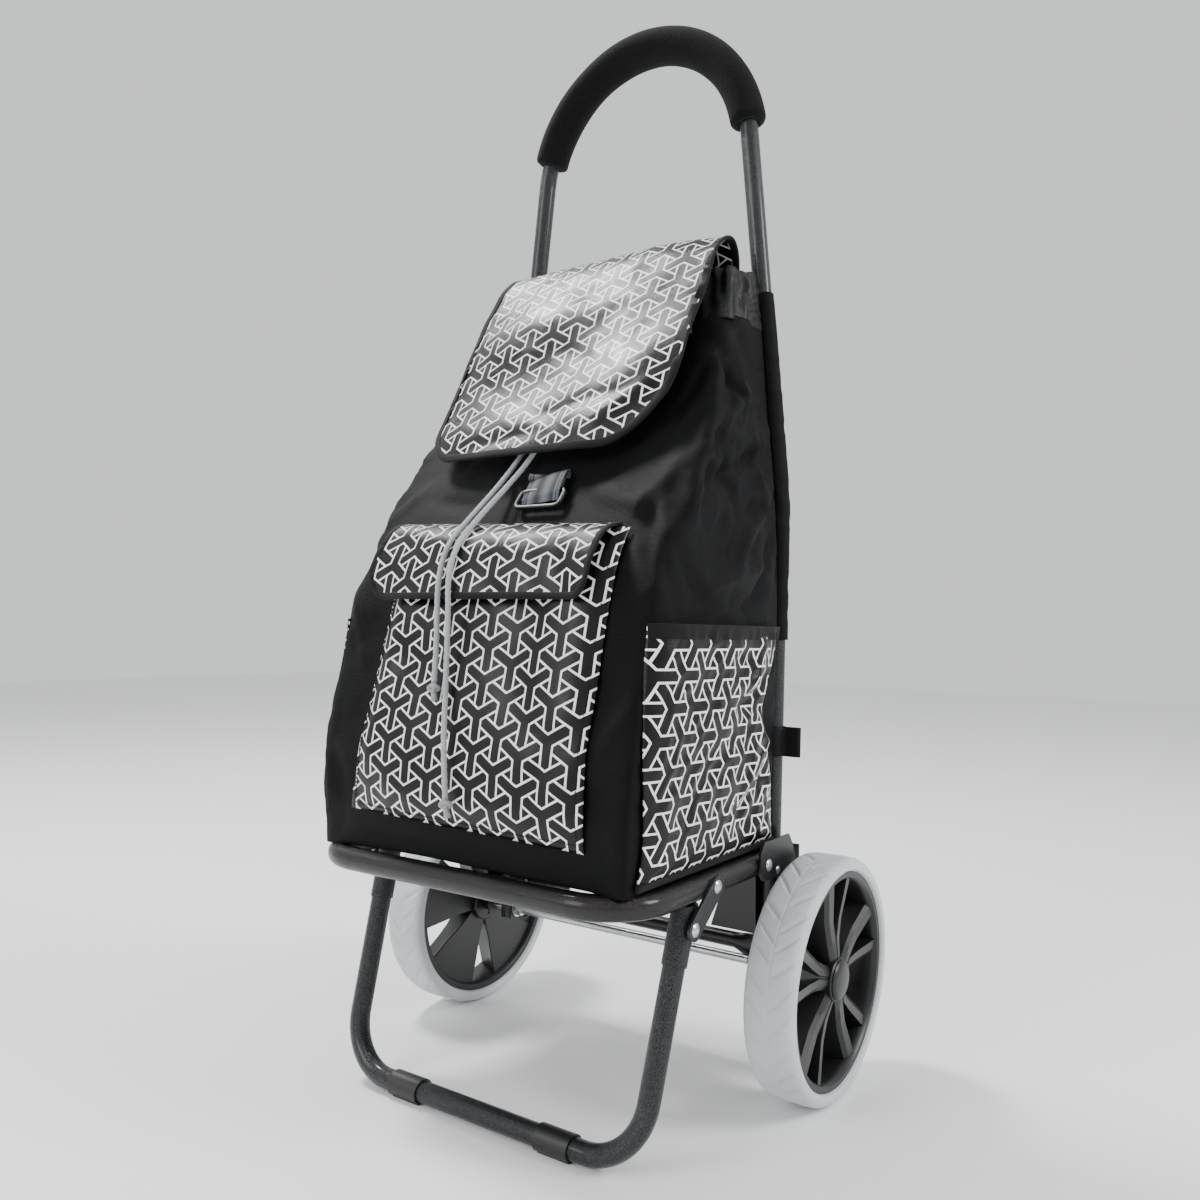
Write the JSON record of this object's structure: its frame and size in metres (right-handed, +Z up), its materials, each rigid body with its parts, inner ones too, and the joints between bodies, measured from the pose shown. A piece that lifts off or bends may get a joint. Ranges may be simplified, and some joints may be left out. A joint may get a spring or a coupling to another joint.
{
  "type": "shopping trolley",
  "caption": "Two-wheeled shopping trolley: bent-tube handle frame, folding platform and front leg, and a lidded cloth bag with front and side pockets.",
  "frame": {"origin": "on the floor, below the middle of the trolley's bounding box", "axes": "+Z up, +Y towards the back (the handle side), X along the axle; the bag's front faces -Y"},
  "size_m": [0.4492, 0.3549, 0.9447],
  "materials": {
    "hammertone_steel": "hammertone enamel on steel tube",
    "black_steel": "black enamel on sheet steel",
    "zinc_steel": "bright zinc plate",
    "black_foam": "closed-cell foam, matt",
    "pale_tyre": "pale grey EVA foam tyre",
    "rim_plastic": "moulded polypropylene",
    "black_plastic": "moulded nylon",
    "black_polyester": "coated oxford weave",
    "printed_cloth": "coated cloth printed with a three-armed lattice",
    "webbing": "woven webbing",
    "cord_braid": "braided polyester cord",
    "base_panel": "stiff polypropylene board"
  },
  "bodies": {
    "frame": {"handle_tube": "hammertone_steel", "foam_grip": "black_foam", "cross_member": "black_steel", "axle": "zinc_steel", "axle_nuts_and_washers": "zinc_steel", "wheel_spacers": "rim_plastic", "platform_pivot_rivets": "zinc_steel", "bracket_rivets": "zinc_steel", "pivot_bracket_left": "black_steel", "pivot_bracket_right": "black_steel", "frame_gusset_left": "black_steel", "frame_gusset_right": "black_steel", "bag_body": "black_polyester", "drawstring_collar": "black_polyester", "back_panel": "black_polyester", "side_pocket_left": "printed_cloth", "side_pocket_right": "printed_cloth", "upright_sleeve_left": "black_polyester", "upright_sleeve_right": "black_polyester", "frame_strap_left": "webbing", "frame_strap_right": "webbing", "eyelets": "zinc_steel"},
    "wheel_left": {"tyre_left": "pale_tyre", "wheel_rim_left": "rim_plastic", "hub_cap_left": "rim_plastic"},
    "wheel_right": {"tyre_right": "pale_tyre", "wheel_rim_right": "rim_plastic", "hub_cap_right": "rim_plastic"},
    "platform": {"platform_tube": "hammertone_steel", "base_board": "base_panel"},
    "front_leg": {"front_leg": "hammertone_steel", "leg_sleeve_left": "hammertone_steel", "leg_sleeve_right": "hammertone_steel", "link_plate_left": "hammertone_steel", "link_plate_right": "hammertone_steel", "foot_sleeve_left": "black_plastic", "foot_sleeve_right": "black_plastic", "link_rivets": "zinc_steel"},
    "bag_front": {"front_pocket": "printed_cloth", "front_webbing": "webbing", "slide_buckle": "black_plastic", "drawstring_left": "cord_braid", "drawstring_right": "cord_braid", "cord_knot_left": "cord_braid", "cord_knot_right": "cord_braid"},
    "pocket_flap": {"pocket_flap": "printed_cloth"},
    "lid": {"top_lid": "printed_cloth"}
  },
  "joints": [
    {"name": "wheel_left_spin", "type": "hinge", "parent": "frame", "child": "wheel_left", "pos_m": [-0.1986, 0.06975, 0.102], "axis": [1, 0, 0], "continuous": true},
    {"name": "wheel_right_spin", "type": "hinge", "parent": "frame", "child": "wheel_right", "pos_m": [0.1986, 0.06975, 0.102], "axis": [1, 0, 0], "continuous": true},
    {"name": "platform_fold", "type": "hinge", "parent": "frame", "child": "platform", "pos_m": [0, 0.02375, 0.201], "axis": [-1, 0, 0], "range_deg": [0, 90], "deforming": ["bag_body", "drawstring_collar", "side_pocket_left", "side_pocket_right", "eyelets", "front_pocket", "pocket_flap", "front_webbing", "slide_buckle", "drawstring_left", "drawstring_right", "cord_knot_left", "cord_knot_right"]},
    {"name": "leg_fold", "type": "hinge", "parent": "platform", "child": "front_leg", "pos_m": [0, -0.06025, 0.201], "axis": [-1, 0, 0], "range_deg": [-105, 0]},
    {"name": "bag_collapse", "type": "slide", "parent": "frame", "child": "bag_front", "axis": [0, 1, 0], "range_m": [0, 0.15836]},
    {"name": "pocket_flap_lift", "type": "hinge", "parent": "bag_front", "child": "pocket_flap", "pos_m": [0, -0.11925, 0.47], "axis": [-1, 0, 0], "range_deg": [0, 110]},
    {"name": "lid_lift", "type": "hinge", "parent": "frame", "child": "lid", "pos_m": [0, 0.05425, 0.706], "axis": [-1, 0, 0], "range_deg": [0, 55]}
  ],
  "couplings": [
    {"joint": "leg_fold", "follows": "platform_fold", "ratio": -1.1633},
    {"joint": "bag_collapse", "follows": "platform_fold", "m_per_rad": 0.1005}
  ]
}
